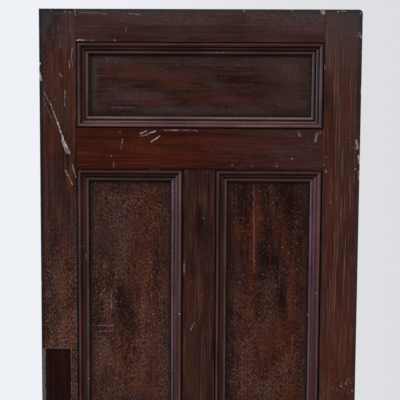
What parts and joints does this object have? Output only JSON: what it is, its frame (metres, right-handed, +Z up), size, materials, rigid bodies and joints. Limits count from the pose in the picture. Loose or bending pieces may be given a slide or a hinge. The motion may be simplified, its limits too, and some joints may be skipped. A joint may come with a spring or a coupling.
{
  "type": "panelled front door",
  "caption": "Panelled timber front door leaf: stiles, rails and muntins joined with wedged tenons, flat panels in planted mouldings, gains for hinges.",
  "frame": {"origin": "middle of the bottom edge, halfway through the thickness", "axes": "+Z up the door, +X to the right as seen from the front, front faces -Y"},
  "size_m": [0.864, 0.044, 2.083],
  "materials": {
    "frame_varnish": "dark red-brown varnish, crazed and scratched",
    "panel_varnish": "dark red-brown varnish, crazed, with red streaks",
    "moulding_varnish": "dark varnish, worn glossy on the beads",
    "wedge_wood": "bare end grain, darkened",
    "pin_steel": "dull wire"
  },
  "bodies": {
    "root": {"back_moulding_pins": "pin_steel", "bottom_rail": "frame_varnish", "bottom_rail_wedges": "wedge_wood", "frieze_rail": "frame_varnish", "frieze_rail_wedges": "wedge_wood", "front_moulding_pins": "pin_steel", "hinge_stile": "frame_varnish", "lock_rail": "frame_varnish", "lock_rail_wedges": "wedge_wood", "lock_stile": "frame_varnish", "lower_left_back_bottom_moulding": "moulding_varnish", "lower_left_back_left_moulding": "moulding_varnish", "lower_left_back_right_moulding": "moulding_varnish", "lower_left_back_top_moulding": "moulding_varnish", "lower_left_front_bottom_moulding": "moulding_varnish", "lower_left_front_left_moulding": "moulding_varnish", "lower_left_front_right_moulding": "moulding_varnish", "lower_left_front_top_moulding": "moulding_varnish", "lower_left_panel": "panel_varnish", "lower_muntin": "frame_varnish", "lower_right_back_bottom_moulding": "moulding_varnish", "lower_right_back_left_moulding": "moulding_varnish", "lower_right_back_right_moulding": "moulding_varnish", "lower_right_back_top_moulding": "moulding_varnish", "lower_right_front_bottom_moulding": "moulding_varnish", "lower_right_front_left_moulding": "moulding_varnish", "lower_right_front_right_moulding": "moulding_varnish", "lower_right_front_top_moulding": "moulding_varnish", "lower_right_panel": "panel_varnish", "top_back_bottom_moulding": "moulding_varnish", "top_back_left_moulding": "moulding_varnish", "top_back_right_moulding": "moulding_varnish", "top_back_top_moulding": "moulding_varnish", "top_front_bottom_moulding": "moulding_varnish", "top_front_left_moulding": "moulding_varnish", "top_front_right_moulding": "moulding_varnish", "top_front_top_moulding": "moulding_varnish", "top_panel": "panel_varnish", "top_rail": "frame_varnish", "top_rail_wedges": "wedge_wood", "upper_left_back_bottom_moulding": "moulding_varnish", "upper_left_back_left_moulding": "moulding_varnish", "upper_left_back_right_moulding": "moulding_varnish", "upper_left_back_top_moulding": "moulding_varnish", "upper_left_front_bottom_moulding": "moulding_varnish", "upper_left_front_left_moulding": "moulding_varnish", "upper_left_front_right_moulding": "moulding_varnish", "upper_left_front_top_moulding": "moulding_varnish", "upper_left_panel": "panel_varnish", "upper_muntin": "frame_varnish", "upper_right_back_bottom_moulding": "moulding_varnish", "upper_right_back_left_moulding": "moulding_varnish", "upper_right_back_right_moulding": "moulding_varnish", "upper_right_back_top_moulding": "moulding_varnish", "upper_right_front_bottom_moulding": "moulding_varnish", "upper_right_front_left_moulding": "moulding_varnish", "upper_right_front_right_moulding": "moulding_varnish", "upper_right_front_top_moulding": "moulding_varnish", "upper_right_panel": "panel_varnish"}
  },
  "joints": []
}
